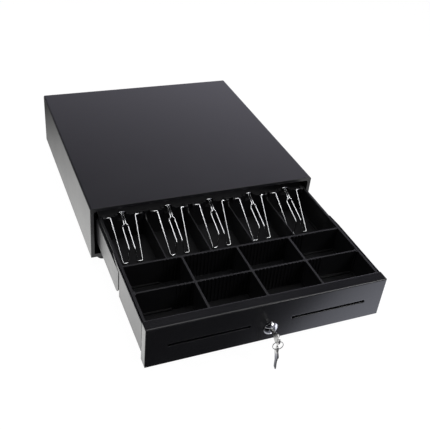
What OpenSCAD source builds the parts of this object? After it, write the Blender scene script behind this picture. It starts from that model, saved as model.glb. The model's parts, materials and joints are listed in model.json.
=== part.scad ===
// Point-of-sale cash drawer, drawn open: steel case on rubber feet, telescopic drawer,
// lift-out till with wire bill clips and coin dividers, key lock and electric latch.
// Origin: centre of the case's underside. +X right, -Y front, +Z up. Millimetres.

/* [Case] */
// Outer width of the case
case_w = 410; // [409.6:0.1:411]
// Outer depth of the case
case_d = 425; // [425:1:435]
// Height of the case without its feet
case_h = 101; // [100:0.5:106]
// Thickness of the cover's steel sheet
sheet = 1; // [0.8:0.1:1]
// Outside radius of the cover's long bends
bend_r = 3; // [2:0.5:4]
// Height of the rubber feet
foot_h = 20; // [19:0.5:25]
// Width of the flange at each side of the front opening
side_flange = 6; // [5:0.5:8]
// Height of the flange above the front opening
top_flange = 6; // [5:0.5:7]

/* [Drawer] */
// How far the drawer stands open
open_travel = 274; // [270:1:274]
// Width of the drawer's front panel
front_w = 387; // [386:0.5:392]
// Height of the front panel's upper edge above the case's underside
front_top = 88; // [87:0.5:91]
// Height of the front panel's lower edge above the case's underside
front_lift = 14; // [13.5:0.5:15]
// Thickness of the front panel's sheet
panel_t = 1.2; // [1:0.1:1.4]
// Depth from the front panel's face to the tray's rear wall
tray_d = 400; // [398:1:400]

/* [Till] */
// Height of the till's rim above the case's underside
till_top = 84.5; // [84.3:0.1:85.5]
// Height of the till's floor above the case's underside
till_floor = 38; // [37.8:0.1:38]
// Width of one coin divider
divider_w = 3.4; // [2.8:0.1:3.6]
// Diameter of the bill clips' wire
clip_wire = 2.2; // [2:0.1:2.4]

/* [Lock] */
// Diameter of the lock's bezel
bezel_d = 23; // [22:0.5:25]
// Height of the lock's axis above the case's underside
lock_z = 38; // [37:0.5:39]
// Diameter of the round bow on the key in the lock
bow_d = 18; // [16:0.5:19]
// Mean diameter of the split ring
ring_d = 16.2; // [15.8:0.1:16.4]

/* [Hidden] */

$fn = 48;
slip = 0.05;
cut = 1;
black = [0.13, 0.13, 0.14];
steel = [0.70, 0.71, 0.73];
chrome = [0.85, 0.86, 0.88];
plastic = [0.10, 0.10, 0.11];

case_front = -case_d / 2;
case_rear = case_d / 2;
opening_x = case_w / 2 - side_flange;
opening_top = case_h - top_flange;
inner_x = case_w / 2 - sheet;
base_t = 1.2;
lip_h = 7;
jamb_d = 9;
upstand_h = 12;
flange_d = 12;
rear_corner_r = 3.5;
rear_in = case_rear - 4.6;
rear_mid = rear_in + sheet;
rear_out = rear_mid + base_t;
rear_screw_r = 1.6;
rear_screw_at = [[-140, case_h - 7], [140, case_h - 7], [-198, 50], [198, 50],
                 [-140, 6.6], [140, 6.6]];
foot_x = 180;
foot_y = 187;
foot_r = 11;
foot_screw_r = 2;
bolt_r = 2.6;
bolt_x = 150;
bolt_y = 170;

front_return = 17.7;
wall_t = 1;
tray_floor = 31;
tray_x = 190.2;
wide_x = 193.7;
wide_end = 135.5;
rim_straight = 148;
rim_end = 177;
tray_top = 82.4;
wide_top = 84.8;
shelf_z = 77.5;
slot_in = 33.5;
slot_out = 160.5;
slot_z = 50;
slot_h = 4;
bulb_r = 2.7;
tab_w = 13;
rivet_at = [[187, 40], [187, 58], [187, 76]];

rail_t = 1;
drawer_rail_x = 194.2;
drawer_rail_z = [31, 77.5];
drawer_rail_y = [138.5, 408.5];
rail_corner = 15;
middle_rail_x = 196.4;
middle_rail_z = [27.8, 80.7];
middle_rail_y = [41, 277];
outer_rail_x = 198.8;
outer_rail_z = [24.6, 83.9];
outer_rail_y = [180, 418];
ball_r = 1;
ball_pitch = 20;

till_in = 187;
till_out = 188.8;
till_rim = 191;
till_front = 18.8;
till_front_in = 21.5;
till_rear_in = 267;
till_rear = 273.8;
till_under = till_floor - 2;
bill_x = [-113.1, -37.7, 37.7, 113.1];
clip_x = [-153.3, -72.7, 2.6, 78, 149.4];
cross_y = [140, 143];
coin_wall_y = [78.7, 80.9];
divider_x = [-93, 0, 93];
comb_pitch = 6.2;
comb_w = 1.6;
comb_d = 1.2;
comb_count = 20;
wall_top = till_top - 0.5;
pivot_y = 263;
pivot_z = 86.6;
clip_r = clip_wire / 2;
neck_x = 1.6;
lug_in = 29.5;
lug_out = 33;
ledge_x = 128;
ledge_d = 2.5;
ledge_top = till_floor + 3.5;

latch_y = 380;
lever_px = 18;
lever_py = latch_y - 35;
link_y = latch_y - 15;
latch_screw_at = [[-40, 337], [-40, 410], [84, 337], [84, 410]];
ejector_x = -60;
ejector_z = 15;
switch_x = -97;
switch_y = 341;
socket_x = 120;
socket_z = 21;
plate_top = base_t + 1.5;
plug_r = 5.5;
housing_r = 9.5;
bezel_rim = 1.4;
dome_h = 5.6;
dome_base = bezel_d / 2 - 0.5;
dome_r = (dome_base * dome_base + dome_h * dome_h) / (2 * dome_h);
key_t = 2.2;
bow_y = 22.3;
key_hole = [-6, 1];
key_hole_r = 2.6;
spare_bow_r = 7.8;
spare_head = 16;
spare_hole = -8.1;
ring_y = bow_y - key_hole[0];
ring_wire = 0.85;
ring_turn = -10;
ring_top = lock_z - 0.5;
ring_low = ring_top - ring_d;
spare_top = ring_low - 1.2;
spare_lean = -3;

// Y of a place given by its distance behind the front panel's face, drawer open
function open_y(v) = case_front - open_travel + v;

// Y of a place given by its distance behind the case's front
function in_y(v) = case_front + v;

module box(x0, x1, y0, y1, z0, z1) {
    translate([x0, y0, z0]) cube([x1 - x0, y1 - y0, z1 - z0]);
}

module along_y(y0, y1) {
    translate([0, y1, 0]) rotate([90, 0, 0]) linear_extrude(y1 - y0) children();
}

module along_x(x0, x1) {
    translate([x0, 0, 0]) rotate([90, 0, 90]) linear_extrude(x1 - x0) children();
}

module rect(u0, u1, v0, v1) {
    translate([u0, v0]) square([u1 - u0, v1 - v0]);
}

module round_rect(u0, u1, v0, v1, r) {
    rect(u0 + r, u1 - r, v0, v1);
    rect(u0, u1, v0 + r, v1 - r);
    for (u = [u0 + r, u1 - r], v = [v0 + r, v1 - r]) translate([u, v]) circle(r);
}

// Flat at the bottom, rounded at the two upper corners
module arch(half, v0, v1, r) {
    rect(-half, half, v0, v1 - r);
    rect(r - half, half - r, v0, v1);
    for (u = [r - half, half - r]) translate([u, v1 - r]) circle(r);
}

module bar_y(x, z, y0, y1, r) {
    translate([x, y0, z]) rotate([-90, 0, 0]) cylinder(h = y1 - y0, r = r);
}

module bar_x(y, z, x0, x1, r) {
    translate([x0, y, z]) rotate([0, 90, 0]) cylinder(h = x1 - x0, r = r);
}

module bar_z(x, y, z0, z1, r) {
    translate([x, y, z0]) cylinder(h = z1 - z0, r = r);
}

module rod(a, b, r) {
    d = b - a;
    translate(a) rotate([0, acos(d[2] / norm(d)), atan2(d[1], d[0])]) cylinder(h = norm(d), r = r);
}

// A bent wire: rods with a slightly larger ball in each bend
module wire(points, r) {
    for (i = [0 : len(points) - 2]) rod(points[i], points[i + 1], r);
    for (i = [1 : len(points) - 2]) translate(points[i]) sphere(r * 1.03);
}

module torus(mean_r, r) {
    rotate_extrude() translate([mean_r, 0]) circle(r);
}

module both_sides() {
    children();
    mirror([1, 0, 0]) children();
}

// ---------------------------------------------------------------- case

module outer_cover() color(black) difference() {
    union() {
        intersection() {
            along_y(case_front, case_rear) difference() {
                arch(case_w / 2, 0, case_h, bend_r);
                arch(inner_x, -cut, case_h - sheet, bend_r - sheet);
            }
            translate([0, 0, -cut]) linear_extrude(case_h + 2 * cut) {
                rect(-case_w, case_w, case_front - cut, 0);
                round_rect(-case_w / 2, case_w / 2, -case_rear, case_rear, rear_corner_r);
            }
        }
        along_y(case_front, case_front + sheet) difference() {
            arch(case_w / 2, 0, case_h, bend_r);
            arch(opening_x, -cut, opening_top, 5);
        }
        along_y(case_front, case_front + jamb_d) difference() {
            arch(opening_x + sheet, base_t + 0.1, opening_top + sheet, 5 + sheet);
            arch(opening_x, 0, opening_top, 5);
        }
        along_y(rear_in, rear_mid) difference() {
            arch(inner_x + 0.5, base_t + 0.1, case_h - 0.5, bend_r - 0.5);
            rect(-inner_x + flange_d, inner_x - flange_d, 0, case_h - sheet - flange_d);
        }
    }
    for (p = rear_screw_at) bar_y(p[0], p[1], rear_in - cut, rear_mid + cut, rear_screw_r + slip);
}

module base_plate() color(black) difference() {
    union() {
        box(0.1 - inner_x, inner_x - 0.1, case_front + sheet, rear_out, 0, base_t);
        box(0.1 - opening_x, opening_x - 0.1, case_front, case_front + base_t, 0, lip_h);
        box(-190, 190, rear_in, rear_mid, 0, upstand_h);
        both_sides() box(inner_x - 1.3, inner_x - 0.1, in_y(12), rear_in - 2, 0, upstand_h);
    }
    for (x = [-bolt_x, bolt_x], y = [-bolt_y, bolt_y]) bar_z(x, y, -cut, base_t + cut, bolt_r);
    for (x = [-foot_x, foot_x], y = [-foot_y, foot_y])
        bar_z(x, y, -cut, base_t + cut, foot_screw_r + slip);
    for (p = rear_screw_at) bar_y(p[0], p[1], rear_in - cut, rear_mid + cut, rear_screw_r + slip);
    for (p = latch_screw_at) bar_z(p[0], in_y(p[1]), -cut, base_t + cut, 1.5 + slip);
}

module rear_panel() color(black) difference() {
    along_y(rear_mid, rear_out) arch(inner_x - 0.1, base_t, case_h - sheet - 0.1, bend_r - sheet);
    for (p = rear_screw_at) bar_y(p[0], p[1], rear_mid - cut, rear_out + cut, rear_screw_r + slip);
    box(socket_x - 8.1, socket_x + 8.1, rear_mid - cut, rear_out + cut, socket_z - 7.1, socket_z + 7.1);
    for (x = [-175, 175], k = [-2 : 2])
        along_y(rear_mid - cut, rear_out + cut)
            round_rect(x - 8, x + 8, 50 + 6 * k - 1.2, 50 + 6 * k + 1.2, 1.1);
    for (x = [-120, 120]) bar_y(x, 60, rear_mid - cut, rear_out + cut, 2 + slip);
}

module rear_screws() color(steel) for (p = rear_screw_at) difference() {
    union() {
        bar_y(p[0], p[1], rear_in - 1.5, rear_out, rear_screw_r);
        bar_y(p[0], p[1], rear_out, rear_out + 1.8, 3);
    }
    for (a = [0, 90]) translate([p[0], rear_out + 1.8, p[1]]) rotate([0, a, 0])
        box(-1.8, 1.8, -0.8, cut, -0.35, 0.35);
}

module rubber_feet() color(plastic) for (x = [-foot_x, foot_x], y = [-foot_y, foot_y]) difference() {
    translate([x, y, -foot_h]) cylinder(h = foot_h, r1 = foot_r - 2, r2 = foot_r);
    bar_z(x, y, -foot_h - cut, -foot_h + 5, 5);
    bar_z(x, y, -foot_h - cut, cut, foot_screw_r + slip);
}

module foot_screws() color(steel) for (x = [-foot_x, foot_x], y = [-foot_y, foot_y]) difference() {
    union() {
        bar_z(x, y, -foot_h + 2.8, -foot_h + 5, 3.6);
        bar_z(x, y, -foot_h + 5, base_t + 4, foot_screw_r);
        translate([x, y, base_t]) cylinder(h = 2.8, r = 4, $fn = 6);
    }
    for (a = [0, 90]) translate([x, y, -foot_h + 2.8]) rotate([0, 0, a])
        box(-2, 2, -0.4, 0.4, -cut, 1);
}

module rear_bumpers() color(plastic) for (x = [-120, 120]) {
    bar_y(x, 60, in_y(tray_d) + 1.5, rear_mid, 6);
    bar_y(x, 60, rear_mid, rear_out + 0.2, 2);
    bar_y(x, 60, rear_out, rear_out + 1.6, 3.2);
}

module channel(x1, depth, z) {
    difference() {
        round_rect(x1 - depth, x1 + 2, z[0], z[1], 0.3);
        rect(x1 - depth - cut, x1 - rail_t, z[0] + rail_t, z[1] - rail_t);
        rect(x1, x1 + 3, z[0] - cut, z[1] + cut);
    }
}

module hat_section() {
    rect(outer_rail_x, outer_rail_x + rail_t, 40, 69);
    rect(outer_rail_x, inner_x, 39, 40);
    rect(outer_rail_x, inner_x, 69, 70);
    rect(inner_x - rail_t, inner_x, 32, 40);
    rect(inner_x - rail_t, inner_x, 69, 77);
}

module rail_brackets() color(steel) both_sides()
    for (v = [185, 285, 385]) along_y(in_y(v), in_y(v + 30)) hat_section();

module outer_rail() difference() {
    along_y(in_y(outer_rail_y[0]), in_y(outer_rail_y[1])) channel(outer_rail_x, 6.3, outer_rail_z);
    for (v = [240, 340]) along_x(outer_rail_x - 2, outer_rail_x + cut)
        round_rect(in_y(v), in_y(v + 24), 51, 58, 3.4);
}

module left_outer_rail() color(steel) mirror([1, 0, 0]) outer_rail();

module right_outer_rail() color(steel) outer_rail();

module middle_rail() difference() {
    along_y(in_y(middle_rail_y[0]), in_y(middle_rail_y[1])) channel(middle_rail_x, 4.9, middle_rail_z);
    for (v = [70, 130, 190, 250]) bar_x(in_y(v), 54, middle_rail_x - 2, middle_rail_x + cut, 4);
}

module left_middle_rail() color(steel) mirror([1, 0, 0]) middle_rail();

module right_middle_rail() color(steel) middle_rail();

module drawer_rail() difference() {
    along_y(open_y(drawer_rail_y[0]), open_y(drawer_rail_y[1])) channel(drawer_rail_x, 4, drawer_rail_z);
    difference() {
        box(tray_x - cut, drawer_rail_x + cut, open_y(drawer_rail_y[0]) - cut,
            open_y(drawer_rail_y[0]) + rail_corner, drawer_rail_z[0] - cut, drawer_rail_z[0] + rail_corner);
        bar_x(open_y(drawer_rail_y[0]) + rail_corner, drawer_rail_z[0] + rail_corner,
            tray_x - 2, drawer_rail_x + 2, rail_corner);
    }
}

module left_drawer_rail() color(steel) mirror([1, 0, 0]) drawer_rail();

module right_drawer_rail() color(steel) drawer_rail();

// One ball cage: a folded strip between two rails with a row of balls in each race
module ball_cage(x_web, x_ball, z_low, z_high, y0, count) {
    length = (count + 1) * ball_pitch;
    box(x_web - 0.25, x_web + 0.25, y0, y0 + length, z_low - 0.25, z_high + 0.25);
    for (z = [z_low, z_high]) {
        box(x_ball - 0.7, x_web, y0, y0 + length, z - 0.25, z + 0.25);
        for (i = [1 : count]) translate([x_ball, y0 + i * ball_pitch, z]) sphere(ball_r);
    }
}

module inner_ball_cages() color(chrome) both_sides()
    ball_cage(194.8, 192.8, drawer_rail_z[0] - 1.1, drawer_rail_z[1] + 1.1, in_y(45), 3);

module outer_ball_cages() color(chrome) both_sides()
    ball_cage(197.1, 194.8, middle_rail_z[0] - 1.1, middle_rail_z[1] + 1.1, in_y(186), 3);

module lock_strike() color(steel) difference() {
    union() {
        box(-15, 15, in_y(10.5), in_y(12), base_t, 12);
        box(-15, 15, in_y(3), in_y(12), base_t, base_t + 1.5);
    }
    for (x = [-9, 9]) bar_z(x, in_y(6.5), base_t + 0.8, base_t + 3, 1.8);
}

// ---------------------------------------------------------------- latch, ejector, switch

module latch_base() color(steel) difference() {
    union() {
        box(-72, 90, in_y(latch_y - 48), in_y(latch_y + 36), base_t, plate_top);
        for (v = [354, 404])
            box(ejector_x - 8.5, ejector_x + 8.5, in_y(v), in_y(v + 6), plate_top, ejector_z);
    }
    bar_y(ejector_x, ejector_z, in_y(350), in_y(416), 7);
    for (p = latch_screw_at) bar_z(p[0], in_y(p[1]), 0, plate_top + cut, 1.5 + slip);
}

module latch_screws() color(steel) for (p = latch_screw_at) difference() {
    union() {
        bar_z(p[0], in_y(p[1]), 0.1, plate_top, 1.5);
        bar_z(p[0], in_y(p[1]), plate_top, plate_top + 1.5, 2.8);
    }
    for (a = [0, 90]) translate([p[0], in_y(p[1]), plate_top + 0.8]) rotate([0, 0, a])
        box(-1.6, 1.6, -0.3, 0.3, 0, cut);
}

module latch_pivot() color(steel) {
    bar_z(lever_px, in_y(lever_py), plate_top, 11.7, 5);
    bar_z(lever_px, in_y(lever_py), plate_top, 23, 3);
    bar_z(lever_px, in_y(lever_py), 23, 24.2, 4.6);
}

module latch_lever() color(steel) difference() {
    union() {
        translate([lever_px, in_y(lever_py), 12]) linear_extrude(4) {
            circle(7);
            rect(-6, 6, 0, 24);
            intersection() {
                circle(36);
                polygon([[6, 13], [6, 24], [-6, 31], [-22, 31], [-22, 28], [-6, 13]]);
            }
        }
        bar_z(lever_px, in_y(link_y), 16, 21, 1.5);
    }
    bar_z(lever_px, in_y(lever_py), 11, 17, 3 + slip);
}

module latch_spring() color(chrome) translate([lever_px, in_y(lever_py), 0]) {
    for (i = [0 : 3]) translate([0, 0, 17.6 + i]) torus(4.3, 0.55);
    wire([[4.3, 0, 17.6], [5, -16, 17.6], [5, -16, plate_top]], 0.5);
}

module solenoid_frame() color(steel) difference() {
    box(42, 80, in_y(link_y) - 12, in_y(link_y) + 12, plate_top, 28.4);
    box(43.6, 78.4, in_y(link_y) - 13, in_y(link_y) + 13, plate_top + 1.6, 26.8);
    bar_x(in_y(link_y), 15.6, 41, 44, 4.4);
    bar_x(in_y(link_y) + 6, 22, 78, 81, 1.5 + slip);
}

module solenoid_coil() color([0.45, 0.24, 0.12]) difference() {
    union() {
        bar_x(in_y(link_y), 15.6, 43.6, 78.4, 8.6);
        for (x = [43.6, 76.8]) bar_x(in_y(link_y), 15.6, x, x + 1.6, 11);
    }
    bar_x(in_y(link_y), 15.6, 43, 74, 4.3);
}

module solenoid_plunger() color(chrome) difference() {
    union() {
        bar_x(in_y(link_y), 15.6, 31, 66, 4);
        box(13, 33, in_y(link_y) - 5, in_y(link_y) + 5, 16.5, 18.5);
    }
    box(lever_px - 1.7, lever_px + 1.7, in_y(link_y) - 3, in_y(link_y) + 3, 16, 19);
}

module ejector_tube() color(steel) difference() {
    bar_y(ejector_x, ejector_z, in_y(352), in_y(415), 7);
    bar_y(ejector_x, ejector_z, in_y(354), in_y(413), 5.6);
    bar_y(ejector_x, ejector_z, in_y(351), in_y(355), 3.1);
}

module ejector_plunger() color(plastic) {
    bar_y(ejector_x, ejector_z, in_y(312.9), in_y(315.9), 6);
    bar_y(ejector_x, ejector_z, in_y(312.9), in_y(372), 3);
    bar_y(ejector_x, ejector_z, in_y(368), in_y(372), 5.2);
}

module ejector_spring() color(chrome) translate([ejector_x, in_y(372.7), ejector_z]) rotate([-90, 0, 0])
    for (i = [0 : 8]) {
        translate([0, 0, 0.7 + 4.8 * i]) torus(4.2, 0.6);
        if (i < 8) rod([4.2 * pow(-1, i), 0, 0.7 + 4.8 * i], [4.2 * pow(-1, i), 0, 5.5 + 4.8 * i], 0.5);
    }

module push_tab() color(steel) difference() {
    union() {
        box(-92, -50, open_y(338), open_y(340), 8, tray_floor);
        box(-92, -50, open_y(326), open_y(340), tray_floor - 2, tray_floor);
    }
    box(-84, -74, open_y(337), open_y(341), 20, 24);
}

module drawer_switch() color([0.16, 0.16, 0.17]) {
    box(-98, -78, in_y(343.5), in_y(350), base_t, 18);
    for (z = [8, 16.2])
        box(switch_x - 2, switch_x + 2, in_y(switch_y - 1), in_y(343.5), z, z + 1.8);
    bar_z(switch_x, in_y(switch_y), 8, 18, 0.8);
    for (x = [-94, -82]) box(x - 1.2, x + 1.2, in_y(350), in_y(354), 7, 7.8);
}

module switch_lever() color(chrome) translate([switch_x, in_y(switch_y), 0]) rotate([0, 0, -10])
    difference() {
        union() {
            box(0, 20, -0.25, 0.25, 10.5, 15.5);
            bar_z(0, 0, 10.5, 15.5, 1.6);
            bar_z(20, 0, 10.5, 15.5, 0.6);
        }
        bar_z(0, 0, 10, 16, 0.8 + slip);
    }

module cable_socket() color([0.14, 0.14, 0.15]) difference() {
    union() {
        box(socket_x - 8, socket_x + 8, in_y(402), rear_out + 0.6, socket_z - 7, socket_z + 7);
        box(socket_x - 10, socket_x + 10, rear_mid - 2, rear_mid, socket_z - 8.5, socket_z + 8.5);
    }
    box(socket_x - 6, socket_x + 6, in_y(410), rear_out + cut, socket_z - 4, socket_z + 4);
    box(socket_x - 3, socket_x + 3, in_y(410), rear_out + cut, socket_z - 6, socket_z - 3);
}

module latch_cable() color(plastic) wire([[78.6, in_y(link_y + 6), 22], [88, in_y(link_y + 6), 22],
    [98, in_y(382), 6], [124, in_y(390), 8], [124, in_y(396), 21], [124, in_y(402), 21]], 1.4);

module switch_cable() color(plastic) wire([[-88, in_y(350), 12], [-88, in_y(358), 11.5], [-88, in_y(366), 3],
    [-88, in_y(411), 3], [-81, in_y(418.4), 3], [95, in_y(418.4), 3], [103, in_y(410), 4],
    [107, in_y(396), 14], [116, in_y(393), 18], [116, in_y(402), 18]], 1.4);

// ---------------------------------------------------------------- drawer

module drawer_tray() color(black) difference() {
    union() {
        box(-tray_x, tray_x, open_y(front_return), open_y(tray_d), tray_floor, tray_floor + wall_t);
        box(-wide_x, wide_x, open_y(front_return), open_y(wide_end), tray_floor, tray_floor + wall_t);
        box(-wide_x, wide_x, open_y(front_return), open_y(front_return) + wall_t, tray_floor, wide_top);
        box(-tray_x, tray_x, open_y(tray_d) - wall_t, open_y(tray_d), tray_floor, tray_top);
        both_sides() {
            box(wide_x - wall_t, wide_x, open_y(front_return), open_y(wide_end), tray_floor, wide_top);
            box(tray_x - wall_t, wide_x, open_y(wide_end) - wall_t, open_y(wide_end), tray_floor, shelf_z);
            box(tray_x - wall_t, tray_x, open_y(wide_end) - wall_t, open_y(tray_d), tray_floor, tray_top);
            translate([0, 0, shelf_z]) linear_extrude(wall_t) rim_plan(0);
            translate([0, 0, shelf_z]) linear_extrude(wide_top - shelf_z) difference() {
                rim_plan(0);
                rim_plan(wall_t);
            }
        }
    }
    both_sides() box(slot_in - 1, slot_out + 1, open_y(front_return) - cut,
        open_y(front_return) + wall_t + cut, slot_z - 2.6, slot_z + 2.6);
    for (p = rivet_at) both_sides() bar_y(p[0], p[1], open_y(front_return) - cut,
        open_y(front_return) + wall_t + cut, 1.6 + slip);
}

// Plan of the shelf that narrows from the tray's wide front part to its rear part
module rim_plan(inset) {
    polygon([[tray_x - wall_t / 2, open_y(wide_end) - wall_t], [wide_x - inset, open_y(wide_end) - wall_t],
             [wide_x - inset, open_y(rim_straight)],
             [till_rim + 0.2 + wall_t - inset, open_y(rim_end)], [tray_x - wall_t / 2, open_y(rim_end)]]);
}

module media_slot(grow) {
    round_rect(slot_in - grow, slot_out + grow, slot_z - slot_h / 2 - grow, slot_z + slot_h / 2 + grow,
               slot_h / 2 + grow - 0.05);
    for (x = [slot_in + bulb_r, slot_out - bulb_r]) translate([x, slot_z]) circle(bulb_r + grow);
}

module drawer_front() color(black) difference() {
    union() {
        difference() {
            intersection() {
                along_y(open_y(0), open_y(front_return))
                    round_rect(-front_w / 2, front_w / 2, front_lift, front_top, 2.2);
                along_x(-front_w / 2, front_w / 2)
                    round_rect(open_y(0), open_y(front_return) + 4, front_lift, front_top, 2);
                translate([0, 0, front_lift]) linear_extrude(front_top - front_lift)
                    round_rect(-front_w / 2, front_w / 2, open_y(0), open_y(front_return) + 4, 2);
            }
            box(panel_t - front_w / 2, front_w / 2 - panel_t, open_y(panel_t), open_y(front_return) + cut,
                front_lift + panel_t, front_top - panel_t);
        }
        both_sides() box(front_w / 2 - tab_w, front_w / 2 - panel_t / 2, open_y(front_return) - panel_t,
            open_y(front_return), tray_floor + 3, front_top - 4);
    }
    both_sides() along_y(open_y(0) - cut, open_y(panel_t) + cut) media_slot(0);
    both_sides() along_y(open_y(0) - cut, open_y(0.4)) media_slot(0.7);
    bar_y(0, lock_z, open_y(0) - cut, open_y(panel_t) + cut, housing_r + slip);
    box(-6, 31, open_y(11.8), open_y(15.4), front_lift - cut, front_lift + panel_t + cut);
    for (p = rivet_at) both_sides()
        bar_y(p[0], p[1], open_y(front_return) - 3, open_y(front_return) + cut, 1.6 + slip);
}

module front_rivets() color(steel) for (p = rivet_at) both_sides() {
    bar_y(p[0], p[1], open_y(front_return) - panel_t, open_y(front_return) + wall_t, 1.6);
    bar_y(p[0], p[1], open_y(front_return) - panel_t - 1.1, open_y(front_return) - panel_t, 3);
}

module media_chutes() color(plastic) both_sides() difference() {
    box(slot_in - 3, slot_out + 3, open_y(panel_t), open_y(front_return), slot_z - 4.4, slot_z + 4.4);
    box(slot_in - 2, slot_out + 2, open_y(panel_t) - cut, open_y(front_return) + cut,
        slot_z - 3.2, slot_z + 3.2);
}

module latch_striker() color(steel) {
    bar_z(0, open_y(latch_y), 8, tray_floor, 3);
    box(-14, 14, open_y(latch_y - 8), open_y(latch_y + 8), tray_floor - 1.6, tray_floor);
}

module lock_housing() color(chrome) difference() {
    union() {
        bar_y(0, lock_z, open_y(-bezel_rim), open_y(0), bezel_d / 2);
        intersection() {
            translate([0, open_y(dome_r - dome_h - bezel_rim), lock_z]) sphere(dome_r);
            bar_y(0, lock_z, open_y(-dome_r), open_y(-bezel_rim / 2), bezel_d / 2);
        }
        bar_y(0, lock_z, open_y(-bezel_rim), open_y(11.5), housing_r);
    }
    bar_y(0, lock_z, open_y(-dome_r), open_y(12), plug_r + slip);
}

module lock_nut() color(steel) difference() {
    along_y(open_y(panel_t), open_y(panel_t + 3.4)) translate([0, lock_z]) circle(r = 13.5, $fn = 6);
    bar_y(0, lock_z, open_y(0), open_y(6), housing_r + slip);
}

module lock_plug() color(chrome) difference() {
    union() {
        bar_y(0, lock_z, open_y(-5.2), open_y(12.5), plug_r);
        along_y(open_y(12.5), open_y(14.5)) intersection() {
            translate([0, lock_z]) circle(4);
            rect(-3, 3, lock_z - 5, lock_z + 5);
        }
    }
    box(-1.1, 1.1, open_y(-7), open_y(7), lock_z - 3.6, lock_z + 3.6);
    bar_y(0, lock_z, open_y(8), open_y(15), 1.6 + slip);
}

module lock_cam() color(steel) along_y(open_y(12.5), open_y(14.5)) difference() {
    union() {
        translate([0, lock_z]) circle(8);
        rect(0, 30, lock_z - 4.5, lock_z + 4.5);
        translate([30, lock_z]) circle(4);
        rect(30, 34, lock_z - 4, lock_z + 4);
    }
    intersection() {
        translate([0, lock_z]) circle(4 + slip);
        rect(-3 - slip, 3 + slip, lock_z - 5, lock_z + 5);
    }
}

module cam_screw() color(steel) difference() {
    union() {
        bar_y(0, lock_z, open_y(9), open_y(14.5), 1.6);
        bar_y(0, lock_z, open_y(14.5), open_y(16.3), 5.2);
    }
    box(-0.5, 0.5, open_y(15.6), open_y(17), lock_z - 6, lock_z + 6);
}

module key_blade(length) difference() {
    box(-0.95, 0.95, 0, length, -3.3, 3.3);
    for (i = [0 : 3]) box(-cut, cut, length - 4 - 3.6 * i, length - 2.2 - 3.6 * i,
        2.1 - 0.5 * (i % 2), 4);
    box(0.5, cut, -cut, length + cut, -1.2, 0.2);
}

// A flat key in the Y-Z plane: bow about the origin, blade along +Y, head along -Y
module key(bow_r, head, hole, length) difference() {
    union() {
        along_x(-key_t / 2, key_t / 2) {
            circle(bow_r);
            rect(bow_r - 2, bow_r + 3, -4.4, 4.4);
            rect(3.7 - head, 0, -3.7, 3.7);
            translate([3.7 - head, 0]) circle(3.7);
        }
        translate([0, bow_r + 2.5, 0]) key_blade(length);
    }
    bar_x(hole[0], hole[1], -key_t, key_t, key_hole_r);
}

module key_in_lock() color(steel) translate([0, open_y(-bow_y), lock_z]) key(bow_d / 2, 5, key_hole, 17);

module key_ring() color(chrome) translate([0, open_y(-ring_y), (ring_top + ring_low) / 2])
    rotate([0, 0, ring_turn]) rotate([90, 0, 0]) torus(ring_d / 2, ring_wire);

module spare_key() color(steel) translate([0, open_y(-ring_y), spare_top])
    rotate([0, spare_lean, ring_turn]) translate([0, 0, spare_hole]) rotate([-90, 0, 0])
        key(spare_bow_r, spare_head, [spare_hole, 0], 19.2);

// ---------------------------------------------------------------- till

module comb(y0, y1) {
    for (k = [-comb_count : comb_count - 1]) {
        x = (k + 0.5) * comb_pitch;
        box(x - comb_w / 2, x + comb_w / 2, y0, y1, till_floor - 0.5, wall_top);
    }
}

module bill_divider() along_x(-1, 1) difference() {
    union() {
        rect(open_y(cross_y[1]) - cut, open_y(till_rear_in) + cut, till_floor - cut, till_top - 9.5);
        rect(open_y(till_rear_in - 11), open_y(till_rear_in) + cut, till_floor, till_top + 1.5);
    }
    translate([open_y(till_rear_in - 11), till_top + 1.5]) circle(11);
}

module till_tray() color(plastic) difference() {
    union() {
        box(-till_out, till_out, open_y(till_front), open_y(till_rear), till_under, till_floor);
        both_sides() {
            box(till_in, till_out, open_y(till_front), open_y(till_rear), till_under, till_top);
            box(till_in, till_rim, open_y(till_front), open_y(till_rear), tray_top + 0.1, till_top);
            box(till_in - 2, till_in + cut, open_y(till_front_in), open_y(till_rear_in),
                till_floor - cut, till_floor + 3);
            box(ledge_x, till_in + cut, open_y(cross_y[0] - ledge_d), open_y(cross_y[0]) + cut,
                till_floor - cut, ledge_top);
            for (v = [coin_wall_y[0] - 2.6, coin_wall_y[1] + 0.1])
                box(till_in - 2.5, till_in + cut, open_y(v), open_y(v + 2.5), till_floor - cut, wall_top);
        }
        box(-till_rim, till_rim, open_y(till_front), open_y(till_front_in), tray_top + 0.1, till_top);
        box(-till_out, till_out, open_y(till_front), open_y(till_front_in), till_under, till_top);
        box(-till_in - cut, till_in + cut, open_y(cross_y[0]), open_y(cross_y[1]),
            till_floor - cut, wall_top);
        box(-till_out, till_out, open_y(till_rear_in), open_y(till_rear), till_under, till_top + 0.5);
        comb(open_y(cross_y[0] - comb_d), open_y(cross_y[0]) + 0.5);
        comb(open_y(till_front_in) - 0.5, open_y(till_front_in + comb_d));
        for (x = bill_x) {
            translate([x, 0, 0]) bill_divider();
            box(x - 8, x + 8, open_y(till_rear_in), open_y(till_rear), till_top, till_top + 3);
        }
        for (x = clip_x) {
            box(x - 12, x + 12, open_y(till_rear_in), open_y(till_rear), till_top, till_top + 3);
            for (u = [-lug_out, lug_in]) {
                box(x + u, x + u + lug_out - lug_in, open_y(till_rear_in - 6.5), open_y(till_rear_in) + cut,
                    pivot_z - 8, pivot_z);
                bar_x(open_y(pivot_y), pivot_z, x + u, x + u + lug_out - lug_in, 2.7);
                box(x + u, x + u + lug_out - lug_in, open_y(pivot_y), open_y(till_rear_in) + cut,
                    pivot_z - 8, pivot_z + 2.7);
            }
        }
    }
    for (x = clip_x) {
        box(x - 7.2, x + 7.2, open_y(till_rear_in) - cut, open_y(till_rear - 1.2),
            till_top - 8.7, till_top + 5);
        bar_x(open_y(pivot_y), pivot_z, x - lug_out - cut, x + lug_out + cut, clip_r + slip);
    }
}

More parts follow.
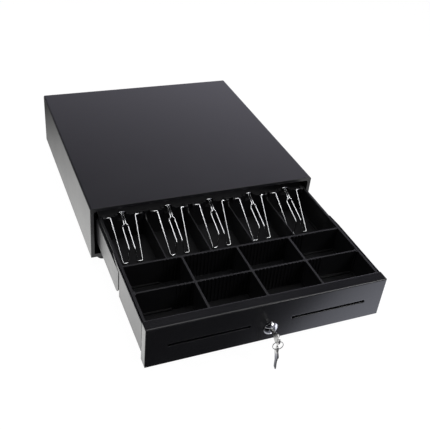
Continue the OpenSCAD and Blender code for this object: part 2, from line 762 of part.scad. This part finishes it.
module coin_cross_wall() color(plastic) {
    box(0.1 - till_in, till_in - 0.1, open_y(coin_wall_y[0]), open_y(coin_wall_y[1]),
        till_floor + 3.2, wall_top);
    box(2.2 - till_in, till_in - 2.2, open_y(coin_wall_y[0]), open_y(coin_wall_y[1]),
        till_floor + 0.1, wall_top);
    both_sides() box(ledge_x, till_in - 2.8, open_y(coin_wall_y[0] - ledge_d), open_y(coin_wall_y[1]),
        till_floor + 0.1, ledge_top);
    for (k = [-comb_count : comb_count - 1]) {
        x = (k + 0.5) * comb_pitch;
        box(x - comb_w / 2, x + comb_w / 2, open_y(coin_wall_y[0] - comb_d),
            open_y(coin_wall_y[1] + comb_d), till_floor + 0.1, wall_top);
    }
}

module coin_divider(i) {
    y0 = i < 3 ? coin_wall_y[1] + 0.2 : till_front_in + 0.2;
    y1 = i < 3 ? cross_y[0] - 0.2 : coin_wall_y[0] - 0.2;
    x = divider_x[i % 3];
    difference() {
        box(x - divider_w / 2, x + divider_w / 2, open_y(y0), open_y(y1), till_floor + 0.1, wall_top);
        for (s = [-1, 1]) translate([x + s * divider_w / 2, 0, 0])
            box(-0.6, 0.6, open_y(y0 + 5), open_y(y1 - 5), till_floor + 5, wall_top - 4);
    }
}

module coin_divider_1() color(plastic) coin_divider(0);

module coin_divider_2() color(plastic) coin_divider(1);

module coin_divider_3() color(plastic) coin_divider(2);

module coin_divider_4() color(plastic) coin_divider(3);

module coin_divider_5() color(plastic) coin_divider(4);

module coin_divider_6() color(plastic) coin_divider(5);

// Half of a bill clip: pivot stub, arm, foot, prong, crown and neck up to the tail bar
module bill_clip(i) translate([clip_x[i], open_y(pivot_y), pivot_z]) {
    both_sides() wire([[32, 0, 0], [20.9, 0, 0], [16.3, -65, -46.6], [7.6, -64, -47], [4.8, -58, -24.7],
        [4.8, -16.8, -10.9], [4.2, -15.6, -8], [neck_x, -14.9, -6.6], [neck_x, 7.6, 2.6]], clip_r);
    wire([[-4.7, 7.6, 2.6], [4.7, 7.6, 2.6]], clip_r);
}

module bill_clip_1() color(chrome) bill_clip(0);

module bill_clip_2() color(chrome) bill_clip(1);

module bill_clip_3() color(chrome) bill_clip(2);

module bill_clip_4() color(chrome) bill_clip(3);

module bill_clip_5() color(chrome) bill_clip(4);

outer_cover();
base_plate();
rear_panel();
rear_screws();
rubber_feet();
foot_screws();
rear_bumpers();
rail_brackets();
left_outer_rail();
right_outer_rail();
lock_strike();
latch_base();
latch_screws();
latch_pivot();
latch_spring();
solenoid_frame();
solenoid_coil();
ejector_tube();
ejector_spring();
drawer_switch();
cable_socket();
latch_cable();
switch_cable();
latch_lever();
solenoid_plunger();
ejector_plunger();
switch_lever();
left_middle_rail();
right_middle_rail();
inner_ball_cages();
outer_ball_cages();
left_drawer_rail();
right_drawer_rail();
drawer_tray();
drawer_front();
front_rivets();
media_chutes();
latch_striker();
push_tab();
lock_housing();
lock_nut();
lock_plug();
lock_cam();
cam_screw();
key_in_lock();
key_ring();
spare_key();
till_tray();
coin_cross_wall();
bill_clip_1();
bill_clip_2();
bill_clip_3();
bill_clip_4();
bill_clip_5();
coin_divider_1();
coin_divider_2();
coin_divider_3();
coin_divider_4();
coin_divider_5();
coin_divider_6();
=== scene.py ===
"""Studio scene for the cash drawer: materials, wires, light and camera on top of the CAD frame."""
import json
import math

import bpy
import bmesh
from mathutils import Matrix, Vector


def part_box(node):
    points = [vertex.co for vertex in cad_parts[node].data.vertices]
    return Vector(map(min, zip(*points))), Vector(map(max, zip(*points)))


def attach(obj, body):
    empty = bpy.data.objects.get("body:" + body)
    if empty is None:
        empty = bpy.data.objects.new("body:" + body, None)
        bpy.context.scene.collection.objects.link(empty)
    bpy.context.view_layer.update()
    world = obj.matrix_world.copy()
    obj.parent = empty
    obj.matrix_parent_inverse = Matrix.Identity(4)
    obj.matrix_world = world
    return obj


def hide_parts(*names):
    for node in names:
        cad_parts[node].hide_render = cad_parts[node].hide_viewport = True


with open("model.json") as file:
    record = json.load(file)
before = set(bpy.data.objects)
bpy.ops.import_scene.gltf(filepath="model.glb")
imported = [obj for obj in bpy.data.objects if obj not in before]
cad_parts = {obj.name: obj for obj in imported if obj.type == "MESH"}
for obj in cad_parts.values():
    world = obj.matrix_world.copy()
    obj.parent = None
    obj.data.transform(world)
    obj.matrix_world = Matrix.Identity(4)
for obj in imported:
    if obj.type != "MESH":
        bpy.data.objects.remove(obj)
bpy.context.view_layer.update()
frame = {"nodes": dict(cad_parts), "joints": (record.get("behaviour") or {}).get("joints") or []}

nodes = frame["nodes"]
joints = {j["name"]: j for j in frame["joints"]}
MM = 0.001

cover_lo, cover_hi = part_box("outer_cover")
front_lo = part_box("drawer_front")[0]
foot_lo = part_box("rubber_feet")[0]


# ------------------------------------------------------------------ materials

class Nodes:
    """A small helper that builds one shader tree."""

    def __init__(self, tree):
        self.tree = tree

    def new(self, kind, **settings):
        node = self.tree.nodes.new(kind)
        for key, value in settings.items():
            setattr(node, key, value)
        return node

    def link(self, a, b):
        self.tree.links.new(a, b)

    def noise(self, vector, scale, detail=4.0, rough=0.55):
        node = self.new("ShaderNodeTexNoise")
        node.inputs["Scale"].default_value = scale
        node.inputs["Detail"].default_value = detail
        node.inputs["Roughness"].default_value = rough
        self.link(vector, node.inputs["Vector"])
        return node.outputs["Fac"]

    def ramp(self, fac, lo, hi, a, b):
        node = self.new("ShaderNodeMapRange")
        node.inputs["From Min"].default_value = lo
        node.inputs["From Max"].default_value = hi
        node.inputs["To Min"].default_value = a
        node.inputs["To Max"].default_value = b
        self.link(fac, node.inputs["Value"])
        return node.outputs["Result"]

    def glow(self, fac, stops, tint):
        """A colour ramp through stops of (position, brightness), tinted."""
        node = self.new("ShaderNodeValToRGB")
        elements = node.color_ramp.elements
        while len(elements) < len(stops):
            elements.new(0.5)
        for element, (at, value) in zip(elements, stops):
            element.position = at
            element.color = (*(value * t for t in tint), 1)
        self.link(fac, node.inputs["Fac"])
        return node.outputs["Color"]

    def math(self, op, a, b):
        node = self.new("ShaderNodeMath", operation=op)
        for i, v in enumerate((a, b)):
            if hasattr(v, "is_linked"):
                self.link(v, node.inputs[i])
            else:
                node.inputs[i].default_value = v
        return node.outputs[0]

    def mix(self, fac, a, b):
        node = self.new("ShaderNodeMix", data_type="RGBA")
        self.link(fac, node.inputs["Factor"])
        node.inputs["A"].default_value = (*a, 1.0)
        node.inputs["B"].default_value = (*b, 1.0)
        return node.outputs["Result"]

    def stretched(self, vector, scale):
        node = self.new("ShaderNodeMapping")
        node.inputs["Scale"].default_value = scale
        self.link(vector, node.inputs["Vector"])
        return node.outputs["Vector"]


def finish_material(name, base, worn, rough, metallic=0.0, specular=0.5, grain=900.0,
                    grain_height=0.02, mottle=14.0, stretch=(1, 1, 1), spread=0.06, round_edge=0.0,
                    wear=0.0):
    """A procedural finish: base colour varied by soft stains, roughness variation, fine grain,
    rounded shading at edges, and optional wear on those edges."""
    mat = bpy.data.materials.new(name)
    mat.use_nodes = True
    tree = mat.node_tree
    tree.nodes.clear()
    n = Nodes(tree)
    out = n.new("ShaderNodeOutputMaterial")
    bsdf = n.new("ShaderNodeBsdfPrincipled")
    n.link(bsdf.outputs["BSDF"], out.inputs["Surface"])
    coord = n.new("ShaderNodeTexCoord").outputs["Object"]
    flow = n.stretched(coord, stretch)
    stains = n.noise(flow, mottle, 5.0)
    fine = n.noise(flow, grain, 2.0)
    speck = n.noise(coord, 160.0, 6.0, 0.7)
    tone = n.ramp(stains, 0.3, 0.7, 0.0, 1.0)
    if wear:
        soft = n.new("ShaderNodeBevel", samples=4)
        soft.inputs["Radius"].default_value = round_edge * 1.8
        geometry = n.new("ShaderNodeNewGeometry")
        dot = n.new("ShaderNodeVectorMath", operation="DOT_PRODUCT")
        n.link(soft.outputs["Normal"], dot.inputs[0])
        n.link(geometry.outputs["Normal"], dot.inputs[1])
        edge = n.ramp(dot.outputs["Value"], 0.75, 0.99, 1.0, 0.0)
        spots = n.ramp(speck, 0.52, 0.62, 0.0, 1.0)
        tone = n.math("MAXIMUM", n.math("MULTIPLY", n.math("MULTIPLY", edge, spots), wear),
                      n.math("MULTIPLY", tone, 0.25))
    n.link(n.mix(tone, base, worn), bsdf.inputs["Base Color"])
    uneven = n.math("ADD", n.math("MULTIPLY", stains, 0.7), n.math("MULTIPLY", speck, 0.3))
    n.link(n.ramp(uneven, 0.3, 0.7, max(rough - spread, 0.02), rough + spread), bsdf.inputs["Roughness"])
    bsdf.inputs["Metallic"].default_value = metallic
    bsdf.inputs["Specular IOR Level"].default_value = specular
    bump = n.new("ShaderNodeBump")
    bump.inputs["Strength"].default_value = 0.5
    bump.inputs["Distance"].default_value = grain_height * MM
    n.link(fine, bump.inputs["Height"])
    if round_edge:
        bevel = n.new("ShaderNodeBevel", samples=6)
        bevel.inputs["Radius"].default_value = round_edge
        n.link(bevel.outputs["Normal"], bump.inputs["Normal"])
    n.link(bump.outputs["Normal"], bsdf.inputs["Normal"])
    return mat


BLACK = (0.0095, 0.0096, 0.0115)
powder = finish_material("powder_coat", BLACK, (0.02, 0.02, 0.022), 0.33, specular=0.5, grain=1500.0,
                         grain_height=0.01, spread=0.02, round_edge=0.9 * MM, wear=0.25)
front_coat = finish_material("front_powder_coat", (0.0075, 0.0076, 0.009), (0.014, 0.014, 0.016), 0.21,
                             specular=0.5, grain=1500.0, grain_height=0.003, spread=0.012,
                             round_edge=0.9 * MM, wear=0.15)
abs_black = finish_material("black_abs", (0.0052, 0.0052, 0.006), (0.006, 0.006, 0.007), 0.4,
                            specular=0.35, grain=2200.0, grain_height=0.02, round_edge=0.5 * MM)
comb_abs = finish_material("black_abs_dividers", (0.0052, 0.0052, 0.006), (0.0065, 0.0065, 0.0075), 0.38,
                           specular=0.4, grain=2200.0, grain_height=0.02, round_edge=0.5 * MM)
zinc = finish_material("zinc_plate", (0.50, 0.51, 0.53), (0.36, 0.37, 0.38), 0.34, metallic=1.0,
                       grain=700.0, grain_height=0.01, stretch=(1, 0.15, 1), round_edge=0.3 * MM)
rail_zinc = finish_material("rail_zinc", (0.42, 0.43, 0.45), (0.30, 0.31, 0.32), 0.3, metallic=1.0,
                            grain=900.0, grain_height=0.01, stretch=(1, 0.06, 1), round_edge=0.3 * MM)
rail_black = finish_material("black_rail", (0.013, 0.013, 0.015), (0.03, 0.03, 0.032), 0.34,
                             grain=1200.0, grain_height=0.02, round_edge=0.3 * MM, wear=0.2)
bright = finish_material("bright_chrome", (0.83, 0.84, 0.86), (0.68, 0.69, 0.71), 0.09, metallic=1.0,
                         grain=500.0, grain_height=0.004, spread=0.03, round_edge=0.25 * MM)
wire_chrome = finish_material("wire_chrome", (0.86, 0.87, 0.88), (0.70, 0.71, 0.72), 0.2, metallic=1.0,
                              grain=600.0, grain_height=0.004, spread=0.05)
nickel = finish_material("nickel_key", (0.62, 0.62, 0.61), (0.42, 0.42, 0.41), 0.3, metallic=1.0,
                         grain=500.0, grain_height=0.02, mottle=60.0, spread=0.08, round_edge=0.25 * MM)
spring_steel = finish_material("spring_steel", (0.52, 0.52, 0.53), (0.36, 0.36, 0.37), 0.26, metallic=1.0,
                               grain=600.0, grain_height=0.006, mottle=80.0)
rubber = finish_material("moulded_rubber", (0.012, 0.012, 0.012), (0.022, 0.021, 0.02), 0.72,
                         grain=1100.0, grain_height=0.06, round_edge=0.6 * MM)
copper = finish_material("copper_winding", (0.55, 0.25, 0.12), (0.38, 0.16, 0.08), 0.34, metallic=1.0,
                         grain=260.0, grain_height=0.12, stretch=(8, 0.2, 0.2))
cable_skin = finish_material("cable_sheath", (0.011, 0.011, 0.012), (0.02, 0.02, 0.021), 0.5,
                             grain=1400.0, grain_height=0.02)

FINISH = {
    "outer_cover": powder, "base_plate": powder, "rear_panel": powder, "drawer_tray": powder,
    "drawer_front": front_coat, "rubber_feet": rubber, "rear_bumpers": rubber,
    "till_tray": abs_black, "media_chutes": abs_black, "drawer_switch": abs_black,
    "cable_socket": abs_black, "ejector_plunger": abs_black, "coin_cross_wall": comb_abs,
    "latch_cable": cable_skin, "switch_cable": cable_skin, "solenoid_coil": copper,
    "lock_housing": bright, "lock_plug": bright, "solenoid_plunger": bright,
    "inner_ball_cages": bright, "outer_ball_cages": bright, "key_in_lock": nickel,
    "spare_key": nickel, "key_ring": nickel, "switch_lever": spring_steel,
    "latch_spring": spring_steel, "ejector_spring": spring_steel,
    "left_drawer_rail": rail_black, "right_drawer_rail": rail_black,
    "left_middle_rail": rail_zinc, "right_middle_rail": rail_zinc,
    "left_outer_rail": rail_zinc, "right_outer_rail": rail_zinc,
}
FINISH.update({f"coin_divider_{i}": comb_abs for i in range(1, 7)})
FINISH.update({f"bill_clip_{i}": wire_chrome for i in range(1, 6)})
for name, obj in nodes.items():
    obj.data.materials.clear()
    obj.data.materials.append(FINISH.get(name, zinc))


# ------------------------------------------------------------------ swept wires

def rounded_path(points, radius, steps=5):
    """The same polyline with each corner turned by an arc-like curve of about that radius."""
    pts = [Vector(p) for p in points]
    path = [pts[0]]
    for i in range(1, len(pts) - 1):
        a, b, c = pts[i - 1], pts[i], pts[i + 1]
        u, v = (a - b), (c - b)
        reach = min(radius, u.length * 0.45, v.length * 0.45)
        start, end = b + u.normalized() * reach, b + v.normalized() * reach
        for k in range(steps + 1):
            t = k / steps
            path.append((1 - t) ** 2 * start + 2 * t * (1 - t) * b + t * t * end)
    path.append(pts[-1])
    return path


def tube(name, points, radius, material, body, sides=14, extra=()):
    """Sweeps a round section along one path, or along several when extra paths are given."""
    mesh = bpy.data.meshes.new(name)
    bm = bmesh.new()
    for path in (points, *extra):
        pts = [Vector(p) for p in path]
        count = len(pts)
        rings = []
        normal = None
        for i, p in enumerate(pts):
            tangent = (pts[min(i + 1, count - 1)] - pts[max(i - 1, 0)]).normalized()
            if normal is None:
                normal = tangent.orthogonal().normalized()
            normal = (normal - tangent * normal.dot(tangent)).normalized()
            side = tangent.cross(normal)
            rings.append([bm.verts.new(p + radius * (math.cos(2 * math.pi * k / sides) * normal
                                                     + math.sin(2 * math.pi * k / sides) * side))
                          for k in range(sides)])
        for ring, following in zip(rings, rings[1:]):
            for k in range(sides):
                beside = (k + 1) % sides
                bm.faces.new((ring[k], ring[beside], following[beside], following[k]))
        bm.faces.new(list(reversed(rings[0])))
        bm.faces.new(rings[-1])
    bmesh.ops.recalc_face_normals(bm, faces=bm.faces)
    bm.to_mesh(mesh)
    bm.free()
    for polygon in mesh.polygons:
        polygon.use_smooth = len(polygon.vertices) == 4
    obj = bpy.data.objects.new(name, mesh)
    bpy.context.scene.collection.objects.link(obj)
    mesh.materials.append(material)
    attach(obj, body)
    return obj


def mirrored(path, centre):
    return [(2 * centre - x, y, z) for x, y, z in path]


CLIP_WIRE = 1.05 * MM
CLIP_HALF = [(32, 0, 0), (20.9, 0, 0), (16.3, -65, -46.6), (7.6, -64, -47), (4.8, -58, -24.7),
             (4.8, -16.8, -10.9), (4.2, -15.6, -8), (1.7, -14.9, -6.6), (1.7, 7.6, 2.6)]
CLIP_TAIL = [(-4.6, 7.6, 2.6), (4.6, 7.6, 2.6)]
for index in range(1, 6):
    node = f"bill_clip_{index}"
    hinge = Vector(joints[f"clip_{index}_lift"]["pos_m"])
    half = [tuple(hinge + MM * Vector(p)) for p in CLIP_HALF]
    path = rounded_path(half, 2.6 * MM)
    clip = tube(f"wire_clip_{index}", path, CLIP_WIRE, wire_chrome, f"clip_{index}",
                extra=[mirrored(path, hinge.x), [hinge + MM * Vector(p) for p in CLIP_TAIL]])
    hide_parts(node)


def helix(centre, axis, radius, start, end, turns, steps=24):
    """Points of a coil round an axis through centre, from start to end along that axis."""
    axis = Vector(axis)
    u = axis.orthogonal().normalized()
    v = axis.cross(u)
    total = int(turns * steps)
    return [Vector(centre) + axis * (start + (end - start) * i / total)
            + radius * (math.cos(2 * math.pi * i / steps) * u + math.sin(2 * math.pi * i / steps) * v)
            for i in range(total + 1)]


EJECTOR_WIRE = 0.6 * MM
spring_lo, spring_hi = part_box("ejector_spring")
middle = (spring_lo + spring_hi) / 2
spring_r = (spring_hi.x - spring_lo.x) / 2 - EJECTOR_WIRE
coil = helix((middle.x, 0, middle.z), (0, 1, 0), spring_r, spring_lo.y + EJECTOR_WIRE,
             spring_hi.y - EJECTOR_WIRE, 9)
obj = tube("ejector_coil", coil, EJECTOR_WIRE, spring_steel, "case", sides=8)
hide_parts("ejector_spring")

LATCH_WIRE, LATCH_COIL_R = 0.5 * MM, 4.3 * MM
LEG_X, LEG_Y = 5 * MM, 16 * MM
pivot = Vector(joints["latch_turn"]["pos_m"])
torsion_lo, torsion_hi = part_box("latch_spring")
coil_low, coil_high = torsion_hi.z - 3.6 * MM, torsion_hi.z - 0.6 * MM
coil = helix((pivot.x, pivot.y, 0), (0, 0, 1), LATCH_COIL_R, coil_low, coil_high, 3)
leg = [(pivot.x + LATCH_COIL_R, pivot.y, coil_low),
       (pivot.x + LEG_X, pivot.y - LEG_Y, coil_low),
       (pivot.x + LEG_X, pivot.y - LEG_Y, torsion_lo.z)]
obj = tube("latch_coil", coil, LATCH_WIRE, spring_steel, "case", sides=8,
           extra=[rounded_path(leg, 1.5 * MM)])
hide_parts("latch_spring")

ring_lo, ring_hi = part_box("key_ring")
ring_mid = (ring_lo + ring_hi) / 2
CAD_RING_WIRE, RING_WIRE, RING_GAP = 0.85 * MM, 0.45 * MM, 0.4 * MM
ring_r = (ring_hi.z - ring_lo.z) / 2 - CAD_RING_WIRE
ring_axis = Vector((0, 0, 1)).cross(Vector(joints["key_swing"]["axis"])).normalized()
turns = helix(ring_mid, ring_axis, ring_r, -RING_GAP, RING_GAP, 1.92, 40)
obj = tube("split_ring", turns, RING_WIRE, nickel, "ring", sides=10)
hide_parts("key_ring")


# ------------------------------------------------------------------ stage, light, camera

def plane(name, corners):
    mesh = bpy.data.meshes.new(name)
    mesh.from_pydata([Vector(c) for c in corners], [], [(0, 1, 2, 3)])
    obj = bpy.data.objects.new(name, mesh)
    bpy.context.scene.collection.objects.link(obj)
    return obj


def rectangle(name, x0, x1, y0, y1, z):
    return plane(name, [(x0, y0, z), (x1, y0, z), (x1, y1, z), (x0, y1, z)])


floor = rectangle("floor", -6, 6, -6, 6, foot_lo.z)
paper = bpy.data.materials.new("floor_paper")
paper.use_nodes = True
paper.node_tree.nodes.clear()
n = Nodes(paper.node_tree)
out = n.new("ShaderNodeOutputMaterial")
add = n.new("ShaderNodeAddShader")
glow = n.new("ShaderNodeEmission")
glow.inputs["Color"].default_value = (1, 1, 1, 1)
glow.inputs["Strength"].default_value = 0.97
matte = n.new("ShaderNodeBsdfDiffuse")
matte.inputs["Color"].default_value = (0.12, 0.12, 0.12, 1)
n.link(glow.outputs[0], add.inputs[0])
n.link(matte.outputs[0], add.inputs[1])
n.link(add.outputs[0], out.inputs["Surface"])
floor.data.materials.append(paper)


def card(name, x0, x1, y0, y1, z, across, start, stops, strength, tint):
    """A studio reflector seen only in reflections; its glow changes with the distance from the
    point start along the direction across."""
    obj = rectangle(name, x0, x1, y0, y1, z)
    mat = bpy.data.materials.new(name)
    mat.use_nodes = True
    mat.node_tree.nodes.clear()
    n = Nodes(mat.node_tree)
    out = n.new("ShaderNodeOutputMaterial")
    light = n.new("ShaderNodeEmission")
    dot = n.new("ShaderNodeVectorMath", operation="DOT_PRODUCT")
    n.link(n.new("ShaderNodeTexCoord").outputs["Object"], dot.inputs[0])
    dot.inputs[1].default_value = (*across, 0)
    offset = start[0] * across[0] + start[1] * across[1]
    lo, hi = stops[0][0], stops[-1][0]
    along = n.ramp(dot.outputs["Value"], offset + lo, offset + hi, 0.0, 1.0)
    shares = [((at - lo) / (hi - lo), value) for at, value in stops]
    n.link(n.glow(along, shares, tint), light.inputs["Color"])
    light.inputs["Strength"].default_value = strength
    n.link(light.outputs[0], out.inputs["Surface"])
    obj.data.materials.append(mat)
    obj.visible_camera = False
    obj.visible_diffuse = False
    obj.visible_shadow = False
    obj.visible_transmission = False
    return obj


card_z = foot_lo.z + 2 * MM
card("front_card", -0.7, 0.9, front_lo.y - 0.9, front_lo.y - 0.001, card_z, (1, 1.78), (0, front_lo.y),
     [(-0.26, 0.0), (-0.12, 0.015), (-0.08, 0.05), (-0.045, 0.12), (-0.01, 0.3), (0.025, 0.6),
      (0.07, 0.78), (0.12, 0.93), (0.17, 1.0)], 1.75, (0.93, 0.95, 1.08))
card("left_card", -1.2, cover_lo.x - 0.001, front_lo.y - 0.001, cover_hi.y + 0.5, card_z, (0, 1), (0, 0),
     [(-0.487, 0.62), (-0.21, 0.74), (-0.116, 0.65), (-0.03, 0.55), (0.05, 0.5), (0.13, 0.4),
      (0.21, 0.32), (0.29, 0.19), (0.4, 0.05), (0.7, 0.0)], 2.4, (1.0, 1.0, 0.99))

OVERHEAD_Z = 1.6
card("overhead_card", -0.8, 0.8, -0.9, 0.5, OVERHEAD_Z, (0, 1), (0, 0), [(-0.9, 1.0), (0.5, 1.0)], 2.2,
     (1.0, 1.0, 1.0))

world = bpy.data.worlds.new("studio")
bpy.context.scene.world = world
world.use_nodes = True
world.node_tree.nodes.clear()
n = Nodes(world.node_tree)
out = n.new("ShaderNodeOutputWorld")
sky = n.new("ShaderNodeBackground")
split = n.new("ShaderNodeSeparateXYZ")
n.link(n.new("ShaderNodeTexCoord").outputs["Generated"], split.inputs[0])
SKY_BY_HEIGHT = [(0.0, 0.9), (0.36, 0.85), (0.44, 0.5), (0.5, 0.18), (0.56, 0.035), (0.62, 0.03),
                 (0.75, 0.06), (1.0, 0.3)]
SKY_TINT = (1.0, 0.97, 1.14)
n.link(n.glow(split.outputs["Z"], SKY_BY_HEIGHT, SKY_TINT), sky.inputs["Color"])
from_left = n.ramp(split.outputs["X"], -0.25, 0.45, 0.1, 1.0)
from_front = n.ramp(split.outputs["Y"], -0.3, 0.3, 0.2, 1.0)
n.link(n.math("MULTIPLY", n.math("MULTIPLY", from_left, from_front), 1.6), sky.inputs["Strength"])
n.link(sky.outputs[0], out.inputs["Surface"])


def soft_box(name, at, target, size, power):
    data = bpy.data.lights.new(name, "AREA")
    data.shape = "RECTANGLE"
    data.size, data.size_y = size
    data.energy = power
    obj = bpy.data.objects.new(name, data)
    bpy.context.scene.collection.objects.link(obj)
    obj.location = at
    obj.rotation_euler = (Vector(target) - Vector(at)).to_track_quat("-Z", "Y").to_euler()
    return obj


soft_box("key_light", (1.02, -1.6, 1.165), (0, -0.3, 0.05), (0.6, 0.5), 9)
soft_box("overhead", (-0.2, -0.5, 2.2), (0, -0.2, 0), (1.6, 1.2), 11)
soft_box("left_light", (-1.8, -0.8, 1.1), (0, -0.3, 0.05), (0.8, 0.8), 7)
soft_box("inside_fill", (0, cover_lo.y + 0.09, cover_hi.z - 0.006), (0, cover_lo.y + 0.085, 0),
         (0.36, 0.12), 0.05)

CAMERA_AT = Vector((-0.39531, -1.09309, 0.74121))
LENS_MM, SENSOR_MM = 56.05, 36.0
azimuth, elevation, roll = math.radians(-25.19), math.radians(35.41), math.radians(6.14)
back = Vector((math.sin(azimuth) * math.cos(elevation), -math.cos(azimuth) * math.cos(elevation),
               math.sin(elevation)))
right = Vector((0, 0, 1)).cross(back).normalized()
up = back.cross(right)
turned_right = math.cos(roll) * right + math.sin(roll) * up
turned_up = math.cos(roll) * up - math.sin(roll) * right
camera_data = bpy.data.cameras.new("camera")
camera_data.sensor_width = SENSOR_MM
camera_data.lens = LENS_MM
camera_data.clip_start = 0.02
camera = bpy.data.objects.new("camera", camera_data)
bpy.context.scene.collection.objects.link(camera)
camera.matrix_world = Matrix((
    (turned_right.x, turned_up.x, back.x, CAMERA_AT.x),
    (turned_right.y, turned_up.y, back.y, CAMERA_AT.y),
    (turned_right.z, turned_up.z, back.z, CAMERA_AT.z),
    (0, 0, 0, 1)))
bpy.context.scene.camera = camera
bpy.context.scene.view_settings.view_transform = "Standard"
bpy.context.scene.view_settings.look = "None"
